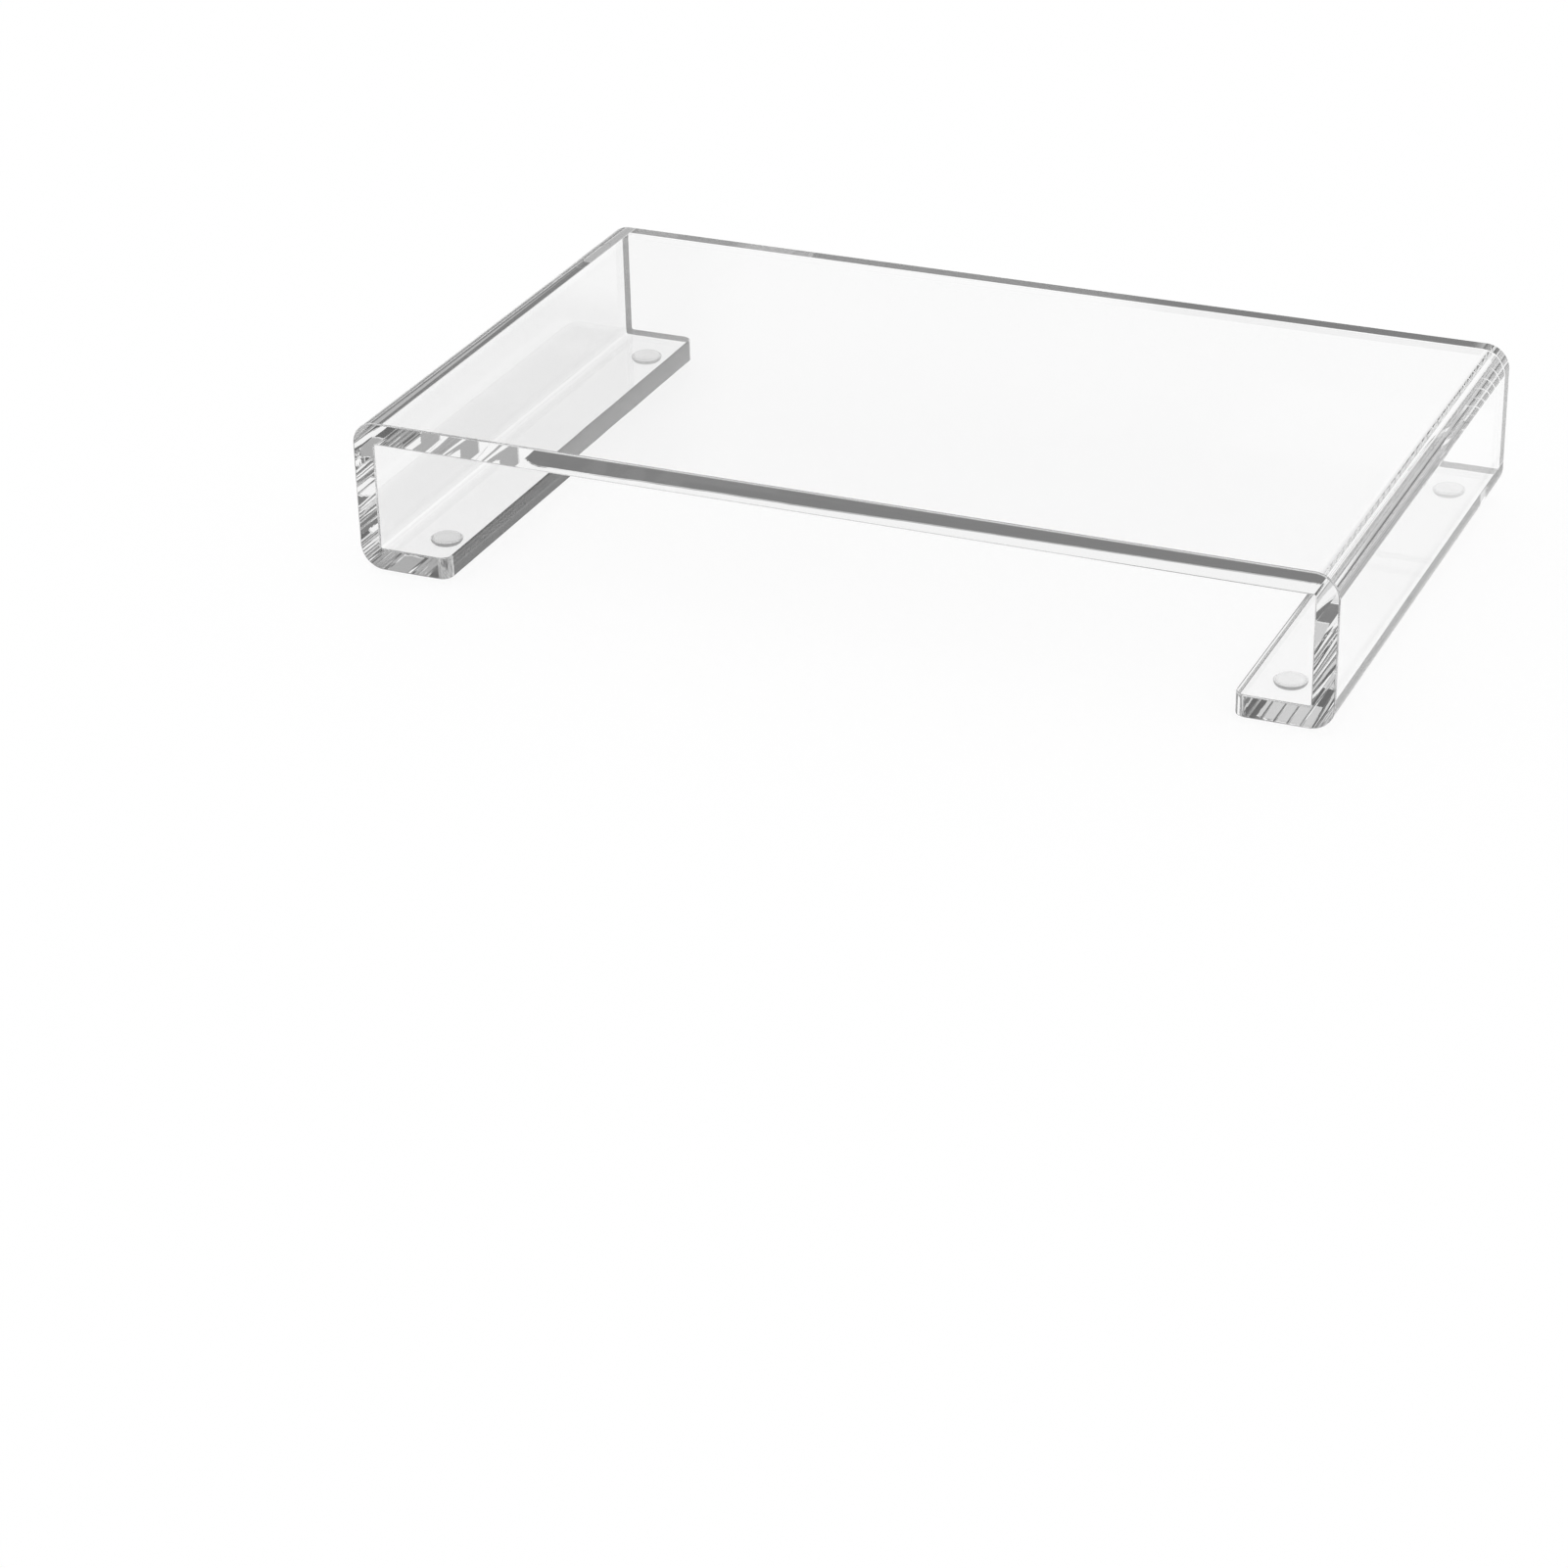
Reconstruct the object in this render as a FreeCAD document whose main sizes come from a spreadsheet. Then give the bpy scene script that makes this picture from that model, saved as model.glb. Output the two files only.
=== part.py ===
"""Clear acrylic riser: one sheet bent into a low bridge, on four stick-on bumpers.

Millimetres, +Z up, front towards -Y. The origin is on the surface that the riser stands on,
under the middle of the riser.
"""
import FreeCAD, Part
import math
import os

import Sketcher

SIZES = {
    "riser_length": 258.5,  # outside, from leg to leg
    "riser_depth": 150.0,  # from the front edge to the back edge
    "riser_height": 40.6,  # sheet alone, from under the foot flanges to the top face
    "sheet_thickness": 6.0,
    "foot_width": 25.1,  # flange, from the leg's outer face to its free edge
    "inner_bend": 0.5,  # radius inside each heat bend, almost a sharp corner
    "foot_corner": 3.0,  # radius of the flanges' free corners, seen from above
    "bumper_diameter": 8.4,
    "bumper_height": 1.4,  # without its adhesive film
    "bumper_rim": 1.2,  # radius round the face that stands on the table
    "bumper_side_inset": 16.0,  # bumper's centre, in from the leg's outer face
    "bumper_front_inset": 16.8,  # front bumper's centre, in from the front edge
    "bumper_back_inset": 12.0,  # back bumper's centre, in from the back edge
    "film_thickness": 0.2,  # adhesive film
    "film_margin": 0.3,  # film's edge, in from the bumper's edge
}

SIDES = {"left": -1, "right": 1}
ENDS = {"front": -1, "back": 1}


def make_sizes(doc):
    """Spreadsheet with one aliased cell for each driving size."""
    sheet = doc.addObject("Spreadsheet::Sheet", "sizes")
    for row, (name, value) in enumerate(SIZES.items(), start=1):
        sheet.set(f"A{row}", name)
        sheet.set(f"B{row}", str(value))
        sheet.setAlias(f"B{row}", name)
    doc.recompute()
    return sheet


def new_body(doc, label):
    body = doc.addObject("PartDesign::Body", label)
    body.Label = label
    return body


def front_sketch(body, name):
    """Sketch on the body's own XZ plane: its x runs along +X and its y along +Z."""
    sketch = body.newObject("Sketcher::SketchObject", name)
    plane = next(item for item in body.Origin.OriginFeatures if item.Role == "XZ_Plane")
    sketch.AttachmentSupport = [(plane, "")]
    sketch.MapMode = "FlatFace"
    return sketch


def draw_outline(sketch, corners):
    """Closed outline of level and upright runs through corners (x, z, radius).

    Run i goes from corner i to the next one. A corner with a radius gets an arc that is
    tangent to its two runs, and one with none stays sharp. Gives back the runs and the arcs.
    """
    points = [FreeCAD.Vector(x, z, 0) for x, z, _ in corners]
    radii = [radius for _, _, radius in corners]
    count = len(corners)
    steps = [(points[(i + 1) % count] - points[i]).normalize() for i in range(count)]
    runs = []
    for i, step in enumerate(steps):
        start = points[i] + step * radii[i]
        finish = points[(i + 1) % count] - step * radii[(i + 1) % count]
        runs.append(sketch.addGeometry(Part.LineSegment(start, finish), False))
        level = abs(step.x) > abs(step.y)
        sketch.addConstraint(Sketcher.Constraint("Horizontal" if level else "Vertical", runs[i]))
    arcs = {}
    for i, radius in enumerate(radii):
        if not radius:
            sketch.addConstraint(Sketcher.Constraint("Coincident", runs[i - 1], 2, runs[i], 1))
            continue
        centre = points[i] + (steps[i] - steps[i - 1]) * radius
        middle = centre - (steps[i] - steps[i - 1]) * radius * math.sqrt(0.5)
        before = points[i] - steps[i - 1] * radius
        after = points[i] + steps[i] * radius
        arcs[i] = sketch.addGeometry(Part.Arc(before, middle, after), False)
        turns_left = steps[i - 1].cross(steps[i]).z > 0
        start_end, finish_end = (1, 2) if turns_left else (2, 1)
        sketch.addConstraint(Sketcher.Constraint("Tangent", runs[i - 1], 2, arcs[i], start_end))
        sketch.addConstraint(Sketcher.Constraint("Tangent", arcs[i], finish_end, runs[i], 1))
    return runs, arcs


def dimension(sketch, name, constraint, expression):
    """Adds a named dimension that follows the sizes."""
    sketch.addConstraint(constraint)
    sketch.renameConstraint(sketch.ConstraintCount - 1, name)
    sketch.setExpression(f"Constraints.{name}", expression)


def place_upright(sketch, run, name, side, away, expression):
    """Holds an upright run at a distance from the middle, to the left or the right."""
    pair = (-1, 1, run, 1) if side > 0 else (run, 1, -1, 1)
    dimension(sketch, name, Sketcher.Constraint("DistanceX", *pair, away), expression)


def place_level(sketch, run, name, height, expression):
    """Holds a level run at a height above the sketch's origin."""
    dimension(sketch, name, Sketcher.Constraint("DistanceY", -1, 1, run, 1, height), expression)


def set_radius(sketch, arc, name, radius, expression):
    dimension(sketch, name, Sketcher.Constraint("Radius", arc, radius), expression)


def make_bent_sheet(doc):
    """The acrylic sheet: top, two legs and two foot flanges turned in under them."""
    half = SIZES["riser_length"] / 2
    high = SIZES["riser_height"]
    thick = SIZES["sheet_thickness"]
    foot = SIZES["foot_width"]
    inner = SIZES["inner_bend"]
    outer = inner + thick
    body = new_body(doc, "bent_sheet")
    sketch = front_sketch(body, "sheet_section")
    runs, arcs = draw_outline(sketch, [
        (-half, 0, outer),
        (-half, high, outer),
        (half, high, outer),
        (half, 0, outer),
        (half - foot, 0, 0),
        (half - foot, thick, 0),
        (half - thick, thick, inner),
        (half - thick, high - thick, inner),
        (thick - half, high - thick, inner),
        (thick - half, thick, inner),
        (foot - half, thick, 0),
        (foot - half, 0, 0),
    ])
    (left_outer, top, right_outer, right_sole, right_free, right_foot_top,
     right_inner, under, left_inner, left_foot_top, left_free, left_sole) = runs
    for side, outside, inside, free in (
        ("left", left_outer, left_inner, left_free),
        ("right", right_outer, right_inner, right_free),
    ):
        sign = SIDES[side]
        place_upright(sketch, outside, f"{side}_outer", sign, half, "sizes.riser_length / 2")
        place_upright(sketch, inside, f"{side}_inner", sign, half - thick,
                      "sizes.riser_length / 2 - sizes.sheet_thickness")
        place_upright(sketch, free, f"{side}_free", sign, half - foot,
                      "sizes.riser_length / 2 - sizes.foot_width")
    for side, sole, foot_top in (
        ("left", left_sole, left_foot_top),
        ("right", right_sole, right_foot_top),
    ):
        sketch.addConstraint(Sketcher.Constraint("PointOnObject", sole, 1, -1))
        place_level(sketch, foot_top, f"{side}_foot_top", thick, "sizes.sheet_thickness")
    place_level(sketch, top, "top", high, "sizes.riser_height")
    place_level(sketch, under, "under", high - thick,
                "sizes.riser_height - sizes.sheet_thickness")
    for corner, arc in arcs.items():
        if corner < 4:
            set_radius(sketch, arc, f"outer_bend_{corner}", outer,
                       "sizes.inner_bend + sizes.sheet_thickness")
        else:
            set_radius(sketch, arc, f"inner_bend_{corner}", inner, "sizes.inner_bend")
    pad = body.newObject("PartDesign::Pad", "sheet_pad")
    pad.Profile = sketch
    pad.SideType = "Symmetric"
    pad.setExpression("Length", "sizes.riser_depth")
    doc.recompute()
    corners = body.newObject("PartDesign::Fillet", "foot_corners")
    corners.Base = (pad, foot_corner_edges(pad.Shape, half - foot))
    corners.setExpression("Radius", "sizes.foot_corner")
    body.setExpression(".Placement.Base.z", "sizes.bumper_height + sizes.film_thickness")
    return body


def foot_corner_edges(shape, free):
    """Names of the upright edges at the flanges' free corners."""
    names = []
    for index, edge in enumerate(shape.Edges, start=1):
        first, last = edge.Vertexes[0].Point, edge.Vertexes[-1].Point
        upright = abs(first.z - last.z) > abs(first.x - last.x) + abs(first.y - last.y)
        if upright and math.isclose(abs(first.x), free, rel_tol=1e-6):
            names.append(f"Edge{index}")
    return names


def make_bumper(doc, end, side):
    """Clear soft bumper: a low round pad whose standing face has a rounded rim."""
    radius = SIZES["bumper_diameter"] / 2
    high = SIZES["bumper_height"]
    rim = SIZES["bumper_rim"]
    body = new_body(doc, f"{end}_{side}_bumper")
    sketch = front_sketch(body, f"{end}_{side}_bumper_section")
    runs, arcs = draw_outline(sketch, [
        (0, 0, 0),
        (radius, 0, rim),
        (radius, high, 0),
        (0, high, 0),
    ])
    standing, wall, stuck, axis = runs
    sketch.addConstraint(Sketcher.Constraint("PointOnObject", standing, 1, -1))
    sketch.addConstraint(Sketcher.Constraint("PointOnObject", axis, 1, -2))
    place_upright(sketch, wall, "radius", 1, radius, "sizes.bumper_diameter / 2")
    place_level(sketch, stuck, "height", high, "sizes.bumper_height")
    set_radius(sketch, arcs[1], "rim", rim, "sizes.bumper_rim")
    turn = body.newObject("PartDesign::Revolution", f"{end}_{side}_bumper_turn")
    turn.Profile = sketch
    turn.ReferenceAxis = (sketch, ["V_Axis"])
    place_at_foot(body, end, side)
    return body


def make_film(doc, end, side):
    """Adhesive film between a bumper and its flange."""
    film = doc.addObject("Part::Cylinder", f"{end}_{side}_adhesive")
    film.Label = f"{end}_{side}_adhesive"
    film.setExpression("Radius", "sizes.bumper_diameter / 2 - sizes.film_margin")
    film.setExpression("Height", "sizes.film_thickness")
    film.setExpression(".Placement.Base.z", "sizes.bumper_height")
    place_at_foot(film, end, side)
    return film


def place_at_foot(item, end, side):
    """Puts a bumper or its film under the flange, near one of its ends."""
    item.setExpression(
        ".Placement.Base.x",
        f"{SIDES[side]} * (sizes.riser_length / 2 - sizes.bumper_side_inset)",
    )
    item.setExpression(
        ".Placement.Base.y",
        f"{ENDS[end]} * (sizes.riser_depth / 2 - sizes.bumper_{end}_inset)",
    )


def check(doc, parts):
    """Stops if anything in the document failed or a piece has no sound solid."""
    for item in doc.Objects:
        if {"Invalid", "Error"} & set(item.State):
            raise RuntimeError(f"{item.Name}: {item.State}")
    for part in parts:
        shape = part.Shape
        if shape.isNull() or not shape.isValid() or len(shape.Solids) != 1:
            raise RuntimeError(f"{part.Label} is not one sound solid")


doc = FreeCAD.newDocument("riser")
make_sizes(doc)
parts = [make_bent_sheet(doc)]
for end in ENDS:
    for side in SIDES:
        parts.append(make_bumper(doc, end, side))
        parts.append(make_film(doc, end, side))
doc.recompute()
check(doc, parts)

os.makedirs("parts", exist_ok=True)
for part in parts:
    part.Shape.exportStep(f"parts/{part.Label}.step")
    box = part.Shape.BoundBox
    print(part.Label, round(part.Shape.Volume, 1), [round(edge, 3) for edge in (
        box.XMin, box.XMax, box.YMin, box.YMax, box.ZMin, box.ZMax)])
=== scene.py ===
import math

import bpy
from mathutils import Matrix, Vector


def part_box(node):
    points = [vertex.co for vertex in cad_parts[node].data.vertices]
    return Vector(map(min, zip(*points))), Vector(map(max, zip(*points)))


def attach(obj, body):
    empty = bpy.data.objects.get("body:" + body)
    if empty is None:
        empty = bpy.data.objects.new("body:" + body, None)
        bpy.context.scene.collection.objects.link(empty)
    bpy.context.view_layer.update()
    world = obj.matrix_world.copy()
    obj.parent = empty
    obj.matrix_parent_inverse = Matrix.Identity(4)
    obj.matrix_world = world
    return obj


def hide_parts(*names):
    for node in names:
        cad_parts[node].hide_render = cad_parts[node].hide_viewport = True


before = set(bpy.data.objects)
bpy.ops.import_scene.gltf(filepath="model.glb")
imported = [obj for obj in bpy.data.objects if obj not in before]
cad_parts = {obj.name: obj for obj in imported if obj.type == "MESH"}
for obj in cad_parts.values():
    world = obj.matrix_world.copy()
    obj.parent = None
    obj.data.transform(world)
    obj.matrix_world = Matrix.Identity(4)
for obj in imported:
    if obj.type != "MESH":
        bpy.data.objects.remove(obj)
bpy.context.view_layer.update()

# The bent sheet is one piece of clear cast acrylic. Its blank is cut with rounded corners, its
# edges are polished with a fine arris, and then it is heated along four lines and bent into a
# bridge with two feet turned in. The mesh is made the same way: a flat blank, then the bends.
sheet_low, sheet_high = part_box("bent_sheet")
sheet_size = sheet_high - sheet_low
thickness = 0.006
inner_bend = 0.0005
middle_bend = inner_bend + thickness / 2
foot_width = 0.0251
foot_corner = 0.003
arris = 0.0004
bend_steps = 28
corner_steps = 12
arris_steps = 5
quarter = math.pi / 2

leg_inset = inner_bend + thickness
flat_runs = [
    foot_width - leg_inset,
    sheet_size.z - 2 * leg_inset,
    sheet_size.x - 2 * leg_inset,
    sheet_size.z - 2 * leg_inset,
    foot_width - leg_inset,
]
bend_length = middle_bend * quarter
blank_length = sum(flat_runs) + 4 * bend_length


def bend_blank(along, out):
    """Where a point of the flat blank goes: its place, the run's direction and its outer side.

    along is measured from the left foot's free edge, and out from the middle of the thickness.
    """
    x = sheet_low.x + foot_width
    z = sheet_low.z + thickness / 2
    heading = math.pi
    for number, run in enumerate(flat_runs):
        way = Vector((math.cos(heading), 0, math.sin(heading)))
        side = Vector((-way.z, 0, way.x))
        start = Vector((x, 0, z))
        if along <= run or number == len(flat_runs) - 1:
            return start + way * along + side * out, way, side
        along -= run
        centre = start + way * run - side * middle_bend
        if along < bend_length:
            turned = along / middle_bend
            way_now = way * math.cos(turned) - side * math.sin(turned)
            side_now = side * math.cos(turned) + way * math.sin(turned)
            return centre + side_now * (middle_bend + out), way_now, side_now
        along -= bend_length
        after = centre + way * middle_bend
        x, z = after.x, after.z
        heading -= quarter


def blank_stations():
    """Places along the blank: how far, how much shallower it is there, and how its rim faces."""
    rim = []
    for step in range(corner_steps + 1):
        turn = quarter * step / corner_steps
        rim.append((foot_corner * (1 - math.cos(turn)), foot_corner * (1 - math.sin(turn)), turn))
    stations = [(along, inset, -math.cos(turn), math.sin(turn)) for along, inset, turn in rim]
    at = 0.0
    for run in flat_runs[:-1]:
        at += run
        for step in range(bend_steps + 1):
            stations.append((at + bend_length * step / bend_steps, 0.0, 0.0, 1.0))
        at += bend_length
    for along, inset, turn in reversed(rim):
        stations.append((blank_length - along, inset, math.cos(turn), math.sin(turn)))
    return stations


def rim_profile():
    """The rim from the outer face to the inner face: how far in, how far out, and its tilt."""
    profile = []
    for step in range(arris_steps + 1):
        tilt = quarter * step / arris_steps
        depth = arris * (1 - math.sin(tilt))
        profile.append((depth, thickness / 2 - arris * (1 - math.cos(tilt)), tilt))
    return profile + [(depth, -out, math.pi - tilt) for depth, out, tilt in reversed(profile)]


def make_mesh(name, points, faces, normals=None):
    """A new object from points and faces, smooth, with its own normals where they are given."""
    mesh = bpy.data.meshes.new(name)
    mesh.from_pydata([tuple(point) for point in points], [], faces)
    mesh.validate()
    mesh.shade_smooth()
    if normals:
        mesh.normals_split_custom_set_from_vertices([tuple(normal) for normal in normals])
    piece = bpy.data.objects.new(name, mesh)
    bpy.context.scene.collection.objects.link(piece)
    return piece


def make_sheet():
    """The polished blank, bent.

    Material 0 is the faces, 1 the front and back edges, and 2 the feet's free edges.
    """
    stations = blank_stations()
    profile = rim_profile()
    points = []
    normals = []
    for end in (-1, 1):
        for along, inset, facing_x, facing_y in stations:
            deep = sheet_size.y / 2 - inset
            for depth, out, tilt in profile:
                spot, way, side = bend_blank(along - facing_x * depth, out)
                spot.y = end * (deep - facing_y * depth)
                rim_way = way * facing_x + Vector((0, end * facing_y, 0))
                points.append(spot)
                normals.append(side * math.cos(tilt) + rim_way * math.sin(tilt))
    rows = len(profile)
    count = len(stations)

    def corner(end, station, row):
        return (end * count + station) * rows + row

    faces = []
    rim_faces = []
    for station in range(count - 1):
        for row in range(rows - 1):
            front = [corner(0, station, row), corner(0, station, row + 1),
                     corner(0, station + 1, row + 1), corner(0, station + 1, row)]
            back = [corner(1, station, row), corner(1, station + 1, row),
                    corner(1, station + 1, row + 1), corner(1, station, row + 1)]
            rim_faces += [front, back]
        for row, order in ((0, 1), (rows - 1, -1)):
            face = [corner(0, station, row), corner(0, station + 1, row),
                    corner(1, station + 1, row), corner(1, station, row)]
            faces.append(face[::order])
    last = count - 1
    cut_faces = []
    for row in range(rows - 1):
        cut_faces.append([corner(0, 0, row), corner(1, 0, row),
                          corner(1, 0, row + 1), corner(0, 0, row + 1)])
        cut_faces.append([corner(1, last, row), corner(0, last, row),
                          corner(0, last, row + 1), corner(1, last, row + 1)])
    piece = make_mesh("clear_sheet", points, faces + rim_faces + cut_faces, normals)
    for finish, start in ((1, len(faces)), (2, len(faces) + len(rim_faces))):
        for face in piece.data.polygons[start:]:
            face.material_index = finish
    return piece


def new_material(name):
    material = bpy.data.materials.new(name)
    material.use_nodes = True
    tree = material.node_tree
    return material, tree, tree.nodes["Principled BSDF"], tree.nodes["Material Output"]


def calculate(tree, operation, first, second):
    """A Math node on two values, each a number or the output of a node."""
    node = tree.nodes.new("ShaderNodeMath")
    node.operation = operation
    for socket, value in zip(node.inputs, (first, second)):
        if isinstance(value, (int, float)):
            socket.default_value = value
        else:
            tree.links.new(value, socket)
    return node.outputs[0]


def fade(tree, value, start, finish):
    """0 before start and 1 after finish."""
    ramp = tree.nodes.new("ShaderNodeMapRange")
    ramp.interpolation_type = "SMOOTHSTEP"
    ramp.inputs["From Min"].default_value = start
    ramp.inputs["From Max"].default_value = finish
    tree.links.new(value, ramp.inputs["Value"])
    return ramp.outputs[0]


def mix_shaders(tree, share, first, second):
    """Mixes two shaders. The share of the second is a number or the output of a node."""
    mix = tree.nodes.new("ShaderNodeMixShader")
    if isinstance(share, float):
        mix.inputs["Fac"].default_value = share
    else:
        tree.links.new(share, mix.inputs["Fac"])
    tree.links.new(first.outputs[0], mix.inputs[1])
    tree.links.new(second.outputs[0], mix.inputs[2])
    return mix


def clear_plastic(name, tint, index, shadow_share):
    """A clear refracting plastic with a pale shadow: that share of the shadow rays passes."""
    material, tree, shader, output = new_material(name)
    shader.inputs["Base Color"].default_value = (tint, tint, tint, 1)
    shader.inputs["IOR"].default_value = index
    shader.inputs["Transmission Weight"].default_value = 1.0
    path = tree.nodes.new("ShaderNodeLightPath")
    passing = calculate(tree, "MULTIPLY", path.outputs["Is Shadow Ray"], shadow_share)
    clear = tree.nodes.new("ShaderNodeBsdfTransparent")
    surface = mix_shaders(tree, passing, shader, clear)
    tree.links.new(surface.outputs[0], output.inputs["Surface"])
    return material, tree, shader


def new_effect(name, inputs, output):
    """An empty shader node group with number inputs and one number output."""
    effect = bpy.data.node_groups.new(name, "ShaderNodeTree")
    for title, value in inputs.items():
        socket = effect.interface.new_socket(title, in_out="INPUT", socket_type="NodeSocketFloat")
        socket.default_value = value
    effect.interface.new_socket(output, in_out="OUTPUT", socket_type="NodeSocketFloat")
    return effect, effect.nodes.new("NodeGroupInput"), effect.nodes.new("NodeGroupOutput")


def make_ripple():
    """The gentle unevenness of a cast, flame-polished or moulded surface."""
    effect, given, result = new_effect(
        "surface_ripple", {"Waves per Metre": 40.0, "Fineness": 1.0}, "Height")
    spot = effect.nodes.new("ShaderNodeTexCoord")
    waves = effect.nodes.new("ShaderNodeTexNoise")
    waves.inputs["Roughness"].default_value = 0.4
    effect.links.new(spot.outputs["Object"], waves.inputs["Vector"])
    effect.links.new(given.outputs["Waves per Metre"], waves.inputs["Scale"])
    effect.links.new(given.outputs["Fineness"], waves.inputs["Detail"])
    effect.links.new(waves.outputs["Fac"], result.inputs["Height"])
    return effect


bend_reach = 0.012  # how far in from the sheet's outside the bends' lines start
bend_full = 0.005  # and where they are as strong as they get
line_stretch = 0.006  # how much slower the lines change along a bend than across it


def make_bend_lines():
    """Faint lines drawn along the four bends, where the sheet was hot and stretched."""
    effect, given, result = new_effect("bend_lines", {"Lines per Metre": 500.0}, "Height")
    spot = effect.nodes.new("ShaderNodeTexCoord")
    split = effect.nodes.new("ShaderNodeSeparateXYZ")
    effect.links.new(spot.outputs["Object"], split.inputs[0])
    aside = calculate(effect, "ABSOLUTE", split.outputs["X"], 0.0)
    by_side = fade(effect, aside, sheet_high.x - bend_reach, sheet_high.x - bend_full)
    middle = (sheet_low.z + sheet_high.z) / 2
    level = calculate(effect, "SUBTRACT", split.outputs["Z"], middle)
    level = calculate(effect, "ABSOLUTE", level, 0.0)
    half_high = sheet_high.z - middle
    by_level = fade(effect, level, half_high - bend_reach, half_high - bend_full)
    at_bend = calculate(effect, "MULTIPLY", by_side, by_level)
    stretch = effect.nodes.new("ShaderNodeVectorMath")
    stretch.operation = "MULTIPLY"
    stretch.inputs[1].default_value = (1.0, line_stretch, 1.0)
    effect.links.new(spot.outputs["Object"], stretch.inputs[0])
    lines = effect.nodes.new("ShaderNodeTexNoise")
    lines.inputs["Detail"].default_value = 2.0
    effect.links.new(stretch.outputs[0], lines.inputs["Vector"])
    effect.links.new(given.outputs["Lines per Metre"], lines.inputs["Scale"])
    height = calculate(effect, "MULTIPLY", lines.outputs["Fac"], at_bend)
    effect.links.new(height, result.inputs["Height"])
    return effect


def make_handling_marks():
    """Patches of faint smudges and rubbed spots, smooth in between."""
    effect, given, result = new_effect(
        "handling_marks", {"Marks per Metre": 60.0, "Least": 0.0, "Most": 0.02}, "Roughness")
    spot = effect.nodes.new("ShaderNodeTexCoord")
    patches = effect.nodes.new("ShaderNodeTexNoise")
    patches.inputs["Detail"].default_value = 3.0
    effect.links.new(spot.outputs["Object"], patches.inputs["Vector"])
    effect.links.new(given.outputs["Marks per Metre"], patches.inputs["Scale"])
    marked = fade(effect, patches.outputs["Fac"], start=0.58, finish=0.78)
    spread = calculate(effect, "SUBTRACT", given.outputs["Most"], given.outputs["Least"])
    above = calculate(effect, "MULTIPLY", marked, spread)
    effect.links.new(calculate(effect, "ADD", above, given.outputs["Least"]),
                     result.inputs["Roughness"])
    return effect


def use_effect(tree, effect, values):
    """Places an effect in a material with its own values."""
    node = tree.nodes.new("ShaderNodeGroup")
    node.node_tree = effect
    for title, value in values.items():
        node.inputs[title].default_value = value
    return node.outputs[0]


def raise_surface(tree, shader, height, depth, under=None):
    """Bumps the surface by a height of at most depth, over an earlier bump if there is one."""
    bump = tree.nodes.new("ShaderNodeBump")
    bump.inputs["Strength"].default_value = 1.0
    bump.inputs["Distance"].default_value = depth
    tree.links.new(height, bump.inputs["Height"])
    if under:
        tree.links.new(under.outputs[0], bump.inputs["Normal"])
    tree.links.new(bump.outputs[0], shader.inputs["Normal"])
    return bump


surface_ripple = make_ripple()
bend_lines = make_bend_lines()
handling_marks = make_handling_marks()


def wear_surface(tree, shader, ripple, depth, marks):
    """Gives a plastic its own ripple, of at most depth, and its own marks in the roughness."""
    rubbed = use_effect(tree, handling_marks, marks)
    tree.links.new(rubbed, shader.inputs["Roughness"])
    return raise_surface(tree, shader, use_effect(tree, surface_ripple, ripple), depth)


acrylic_index = 1.49
acrylic_shadow = 0.95

face_acrylic, face_tree, face_shader = clear_plastic(
    "clear_acrylic_face", tint=0.995, index=acrylic_index, shadow_share=acrylic_shadow)
face_bump = wear_surface(
    face_tree, face_shader, ripple={"Waves per Metre": 30.0}, depth=0.00002,
    marks={"Marks per Metre": 45.0, "Most": 0.006})
lines = use_effect(face_tree, bend_lines, {"Lines per Metre": 450.0})
raise_surface(face_tree, face_shader, lines, depth=0.000012, under=face_bump)
finishes = [face_acrylic]

# The front and back edges are polished clear. The feet's free edges are tinted near black:
# painted shade, standing in for the dark band they show.
for name, tint, most_rubbed in (("polished", 0.99, 0.002), ("painted_shade", 0.05, 0.03)):
    edge_acrylic, edge_tree, edge_shader = clear_plastic(
        f"clear_acrylic_{name}_edge", tint, acrylic_index, acrylic_shadow)
    wear_surface(
        edge_tree, edge_shader, ripple={"Waves per Metre": 150.0}, depth=0.000008,
        marks={"Marks per Metre": 150.0, "Most": most_rubbed})
    finishes.append(edge_acrylic)

clear_sheet = make_sheet()
for finish in finishes:
    clear_sheet.data.materials.append(finish)
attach(clear_sheet, "root")
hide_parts("bent_sheet")

# The four bumpers are low round pads of clear soft polyurethane with a rounded standing rim.
# Each is stuck under a foot flange by a thin film of clear adhesive, a little smaller than it.
bumper_rim = 0.0012
bumper_edge = 0.00015
round_sides = 72
round_steps = 8
inner_rings = (0.35, 0.7)
film_seam = 0.00003


def lathe(name, profile, centre):
    """Turns a profile of (radius, height) round an upright axis. Radius 0 closes an end."""
    points = []
    rings = []
    for radius, height in profile:
        if radius == 0:
            rings.append([len(points)] * round_sides)
            points.append(centre + Vector((0, 0, height)))
            continue
        rings.append(list(range(len(points), len(points) + round_sides)))
        for side in range(round_sides):
            turn = 2 * math.pi * side / round_sides
            spoke = Vector((radius * math.cos(turn), radius * math.sin(turn), height))
            points.append(centre + spoke)
    faces = []
    for lower, upper in zip(rings, rings[1:]):
        for side in range(round_sides):
            after = (side + 1) % round_sides
            loop = [lower[side], lower[after], upper[after], upper[side]]
            faces.append(list(dict.fromkeys(loop)))
    piece = make_mesh(name, points, faces)
    piece.data.set_sharp_from_angle(angle=math.radians(40))
    return piece


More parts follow.
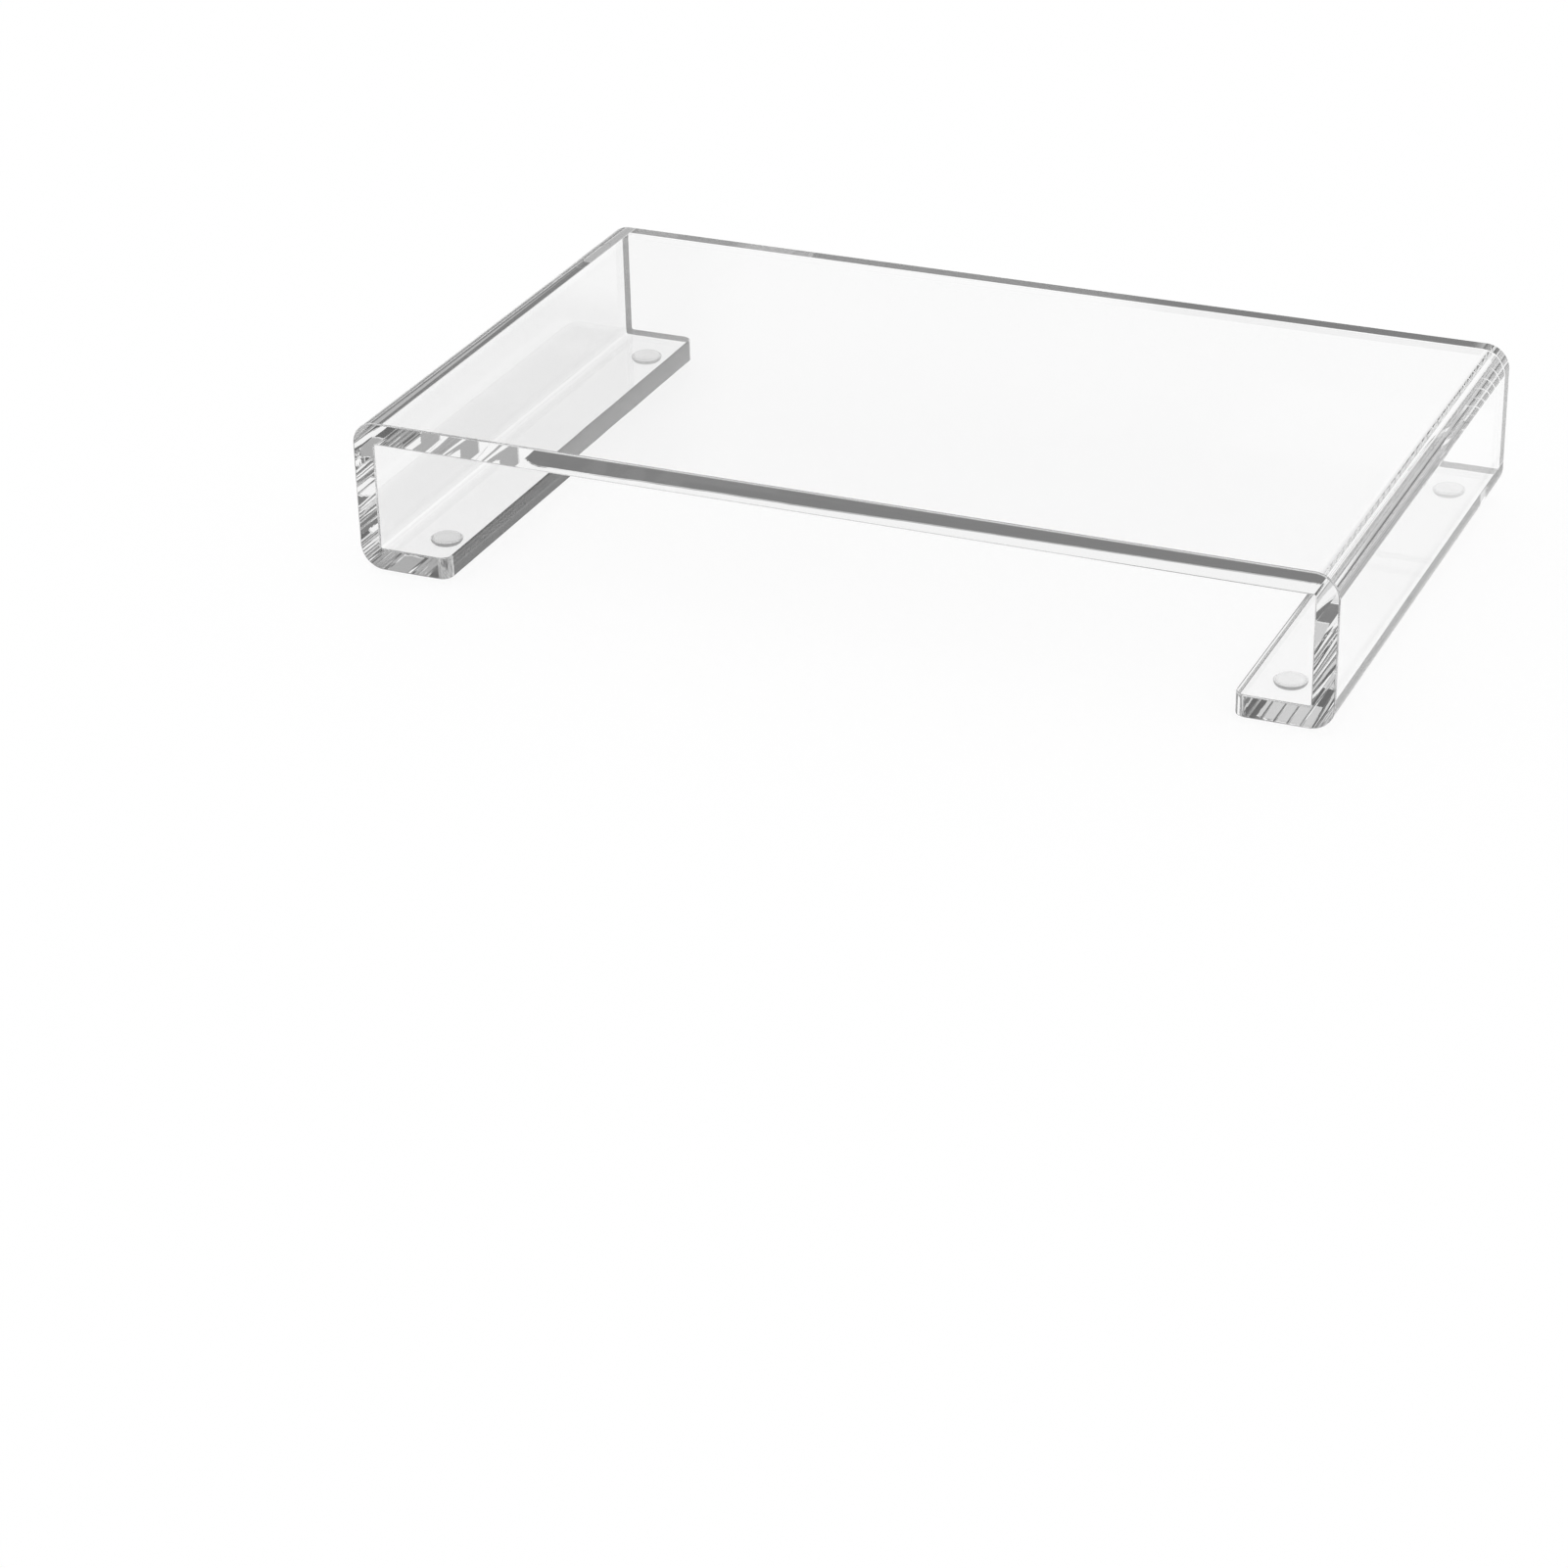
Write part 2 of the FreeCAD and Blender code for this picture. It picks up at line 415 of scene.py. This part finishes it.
def rounded_pad(radius, height, low_round, high_round):
    """Profile of a round pad from the middle of its underside to the middle of its top."""
    profile = [(0, 0)]
    for share in inner_rings:
        profile.append(((radius - low_round) * share, 0))
    turns = [quarter * step / round_steps for step in range(round_steps + 1)]
    for turn in turns:
        profile.append((radius - low_round * (1 - math.sin(turn)),
                        low_round * (1 - math.cos(turn))))
    for turn in turns:
        profile.append((radius - high_round * (1 - math.cos(turn)),
                        height - high_round * (1 - math.sin(turn))))
    return profile + [(0, height)]


def mix_tones(tree, share, first, second):
    """Mixes two tones from 0, black, to 1, white. Each is a number or the output of a node."""
    mix = tree.nodes.new("ShaderNodeMixRGB")
    tree.links.new(share, mix.inputs["Fac"])
    for socket, tone in ((mix.inputs["Color1"], first), (mix.inputs["Color2"], second)):
        if isinstance(tone, float):
            socket.default_value = (tone, tone, tone, 1)
        else:
            tree.links.new(tone, socket)
    return mix.outputs[0]


# The bumpers' walls, seen from outside, are tinted dark grey: painted shade, standing in for the
# darker rim they show. The flat faces keep the pale tint.
bumper_tone = 0.9
painted_shade_wall_tone = 0.07
bumper_clear, bumper_tree, bumper_shader = clear_plastic(
    "clear_soft_bumper", bumper_tone, index=1.49, shadow_share=0.6)
facing = bumper_tree.nodes.new("ShaderNodeNewGeometry")
facing_split = bumper_tree.nodes.new("ShaderNodeSeparateXYZ")
bumper_tree.links.new(facing.outputs["Normal"], facing_split.inputs[0])
level = calculate(bumper_tree, "ABSOLUTE", facing_split.outputs["Z"], 0.0)
free_of_painted_shade = calculate(bumper_tree, "MAXIMUM", fade(bumper_tree, level, start=0.8, finish=0.99),
                  facing.outputs["Backfacing"])
bumper_tree.links.new(mix_tones(bumper_tree, free_of_painted_shade, painted_shade_wall_tone, bumper_tone),
                      bumper_shader.inputs["Base Color"])
wear_surface(
    bumper_tree, bumper_shader, ripple={"Waves per Metre": 700.0, "Fineness": 3.0},
    depth=0.00002, marks={"Marks per Metre": 500.0, "Least": 0.04, "Most": 0.14})

film_clear, film_tree, film_shader = clear_plastic(
    "clear_adhesive_film", tint=0.97, index=1.47, shadow_share=0.7)
wear_surface(
    film_tree, film_shader, ripple={"Waves per Metre": 1500.0, "Fineness": 2.0},
    depth=0.00001, marks={"Marks per Metre": 900.0, "Least": 0.05, "Most": 0.2})

for end in ("front", "back"):
    for side in ("left", "right"):
        low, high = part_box(f"{end}_{side}_bumper")
        middle = (low + high) / 2
        profile = rounded_pad((high.x - low.x) / 2, high.z - low.z - film_seam,
                              bumper_rim, bumper_edge)
        pad = lathe(f"{end}_{side}_clear_pad", profile, Vector((middle.x, middle.y, low.z)))
        pad.data.materials.append(bumper_clear)
        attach(pad, "root")
        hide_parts(f"{end}_{side}_bumper")

        low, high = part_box(f"{end}_{side}_adhesive")
        film_height = high.z - low.z - film_seam
        film_round = film_height / 3
        profile = rounded_pad((high.x - low.x) / 2, film_height, film_round, film_round)
        film = lathe(f"{end}_{side}_film", profile, Vector((middle.x, middle.y, low.z)))
        film.data.materials.append(film_clear)
        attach(film, "root")
        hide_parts(f"{end}_{side}_adhesive")

# The camera stands in front, a little to the right, and looks down on the riser with a long lens.
# Its place, tilt and lens were fitted to the riser's straight edges.
aim = Vector((-0.0458, 0, -0.0825))
azimuth = math.radians(24.17)
elevation = math.radians(27.89)
roll = math.radians(1.34)
distance = 1.1442
lens_pixels = 4281.1
frame_pixels = 1601

back_way = Vector((math.sin(azimuth) * math.cos(elevation),
                   -math.cos(azimuth) * math.cos(elevation), math.sin(elevation)))
camera_data = bpy.data.cameras.new("camera")
camera_data.sensor_width = 36
camera_data.lens = lens_pixels * camera_data.sensor_width / frame_pixels
camera = bpy.data.objects.new("camera", camera_data)
camera.matrix_world = (Matrix.Translation(aim + back_way * distance)
                       @ (-back_way).to_track_quat("-Z", "Y").to_matrix().to_4x4()
                       @ Matrix.Rotation(-roll, 4, "Z"))
bpy.context.scene.collection.objects.link(camera)
bpy.context.scene.camera = camera

# The floor is a plain pale surface. Straight on, and straight through the clear plastic, it is
# white. Light that was mirrored inside the plastic finds zones of grey on it: painted shade,
# which stands for the darker parts of a studio and for the riser's own shade on the floor. The
# zones go by the place and by how often the light was mirrored.
floor_half = 3.0
floor = make_mesh("floor", [(-floor_half, -floor_half, 0), (floor_half, -floor_half, 0),
                            (floor_half, floor_half, 0), (-floor_half, floor_half, 0)],
                  [[0, 1, 2, 3]])
floor_paint, floor_tree, unused_shader, floor_output = new_material("pale_floor")
floor_tree.nodes.remove(unused_shader)


def between(tree, value, low, high, soft):
    """1 from low to high, and 0 a soft step outside them."""
    return calculate(tree, "SUBTRACT", fade(tree, value, low - soft, low),
                     fade(tree, value, high, high + soft))


def opposite(tree, share):
    """0 where a share is 1, and 1 where it is 0."""
    return calculate(tree, "SUBTRACT", 1.0, share)


def both(tree, first, second):
    """1 only where both shares are 1."""
    return calculate(tree, "MULTIPLY", first, second)


def mirrored_inside(tree, times):
    """1 for light that was mirrored at least so many times inside the clear plastic, else 0."""
    path = tree.nodes.new("ShaderNodeLightPath")
    mirrored = calculate(tree, "GREATER_THAN", path.outputs["Glossy Depth"], times - 0.5)
    return both(tree, mirrored, path.outputs["Is Transmission Ray"])


def lay_tones(tree, tone, zones):
    """Lays tones over a first one, each where its zone's share is 1."""
    for share, over in zones:
        tone = mix_tones(tree, share, tone, over)
    return tone


def lay_by_mirrorings(tree, tone, steps):
    """Lays tones over a first one, each for light mirrored at least that many times inside."""
    return lay_tones(tree, tone, [(mirrored_inside(tree, times), over) for times, over in steps])


floor_spot = floor_tree.nodes.new("ShaderNodeNewGeometry")
floor_split = floor_tree.nodes.new("ShaderNodeSeparateXYZ")
floor_tree.links.new(floor_spot.outputs["Position"], floor_split.inputs[0])
floor_x, floor_y = floor_split.outputs["X"], floor_split.outputs["Y"]

# The floor's zones, each a share from 0 outside it to 1 inside it.
not_left = fade(floor_tree, floor_x, -0.137, -0.131)
not_left_of_foot = fade(floor_tree, floor_x, -0.129, -0.125)
right_part = fade(floor_tree, floor_x, 0.06, 0.075)
towards_right = fade(floor_tree, floor_x, 0.04, 0.11)
right_of = fade(floor_tree, floor_x, sheet_high.x + 0.002, sheet_high.x + 0.006)
front_half = opposite(floor_tree, fade(floor_tree, floor_y, -0.03, 0.0))
under_right_foot = both(floor_tree, front_half, fade(floor_tree, floor_x, 0.096, 0.102))
light_side = calculate(floor_tree, "MAXIMUM", right_of, under_right_foot)
behind = fade(floor_tree, floor_y, sheet_high.y + 0.02, sheet_high.y + 0.05)
strip_behind = both(floor_tree, fade(floor_tree, floor_x, 0.04, 0.06),
                    between(floor_tree, floor_y, 0.085, 0.125, soft=0.01))
far_right = both(floor_tree, fade(floor_tree, floor_x, 0.135, 0.15),
                 fade(floor_tree, floor_y, 0.115, 0.14))

# What light finds there that was mirrored once, a few times or often.
once_tone = lay_tones(floor_tree, 0.08, [(behind, 0.93), (light_side, 0.97)])
few_tone = lay_tones(floor_tree, 0.65, [
    (not_left, 0.38), (right_part, 0.55), (light_side, 0.97), (strip_behind, 0.93),
    (far_right, 0.5)])
often_tone = lay_tones(floor_tree, 0.95, [
    (not_left_of_foot, 0.40), (towards_right, 0.62), (right_of, 0.15)])
floor_tone = lay_by_mirrorings(floor_tree, once_tone, [
    (2, few_tone), (6, often_tone), (8, 0.93), (9, often_tone), (16, 0.35), (30, 0.93)])

shadow_strength = 0.14
white = floor_tree.nodes.new("ShaderNodeEmission")
white.inputs["Color"].default_value = (1, 1, 1, 1)
pale = floor_tree.nodes.new("ShaderNodeBsdfDiffuse")
pale.inputs["Color"].default_value = (0.95, 0.95, 0.95, 1)
shaded = mix_shaders(floor_tree, shadow_strength, white, pale)
grey = floor_tree.nodes.new("ShaderNodeEmission")
floor_tree.links.new(floor_tone, grey.inputs["Color"])
painted = mix_shaders(floor_tree, mirrored_inside(floor_tree, 1), shaded, grey)
floor_tree.links.new(painted.outputs[0], floor_output.inputs["Surface"])
floor.data.materials.append(floor_paint)

# The studio is a white room. Light that was mirrored inside the plastic finds greys on its walls,
# which go by the direction and by how often the light was mirrored.
world = bpy.data.worlds.new("studio")
bpy.context.scene.world = world
world.use_nodes = True
sky_tree = world.node_tree
sky = sky_tree.nodes["Background"]
sky.inputs["Strength"].default_value = 1.0
direction = sky_tree.nodes.new("ShaderNodeTexCoord")
sky_split = sky_tree.nodes.new("ShaderNodeSeparateXYZ")
sky_tree.links.new(direction.outputs["Generated"], sky_split.inputs[0])
sky_x, sky_z = sky_split.outputs["X"], sky_split.outputs["Z"]
view = sky_tree.nodes.new("ShaderNodeLightPath")

# The room's zones, by direction: x runs to the right and z up.
not_far_left = fade(sky_tree, sky_x, -0.405, -0.385)
not_left = fade(sky_tree, sky_x, -0.31, -0.29)
right_window = between(sky_tree, sky_x, 0.125, 0.195, soft=0.01)
right_wall = fade(sky_tree, sky_x, 0.2, 0.22)
above_the_floor = fade(sky_tree, sky_z, 0.10, 0.16)
half_way_up = fade(sky_tree, sky_z, 0.48, 0.56)
high_up = fade(sky_tree, sky_z, 0.57, 0.64)
high_on_the_left = both(sky_tree, opposite(sky_tree, fade(sky_tree, sky_x, -0.2, -0.1)),
                        fade(sky_tree, sky_z, 0.50, 0.60))

once_tone = lay_tones(sky_tree, 0.65, [(not_far_left, 0.9)])
few_tone = lay_tones(sky_tree, once_tone, [(not_left, 0.2), (half_way_up, 0.9)])
often_tone = lay_tones(sky_tree, 0.04, [
    (above_the_floor, 0.18), (high_on_the_left, 0.95), (right_window, 0.6), (right_wall, 0.11),
    (high_up, 0.95)])
open_tone = mix_tones(sky_tree, view.outputs["Is Camera Ray"], 0.9, 1.0)
sky_tone = lay_by_mirrorings(sky_tree, open_tone, [
    (1, once_tone), (2, few_tone), (6, often_tone), (16, 0.3), (30, 0.95)])
sky_tree.links.new(sky_tone, sky.inputs["Color"])

# One large, soft lamp overhead gives the pale shadow. It isn't seen through the clear plastic,
# where it would show as a bright disc.
lamp_light = bpy.data.lights.new("soft_overhead_lamp", "SUN")
lamp_light.energy = 0.5
lamp_light.angle = math.radians(70)
lamp = bpy.data.objects.new("soft_overhead_lamp", lamp_light)
lamp.rotation_euler = (math.radians(18), math.radians(12), 0)
lamp.visible_transmission = False
bpy.context.scene.collection.objects.link(lamp)

# Light is mirrored very many times inside clear plastic, so it is followed for long.
scene = bpy.context.scene
scene.view_settings.view_transform = "Standard"
scene.cycles.max_bounces = 100
scene.cycles.glossy_bounces = 96
scene.cycles.transmission_bounces = 96
scene.cycles.transparent_max_bounces = 32
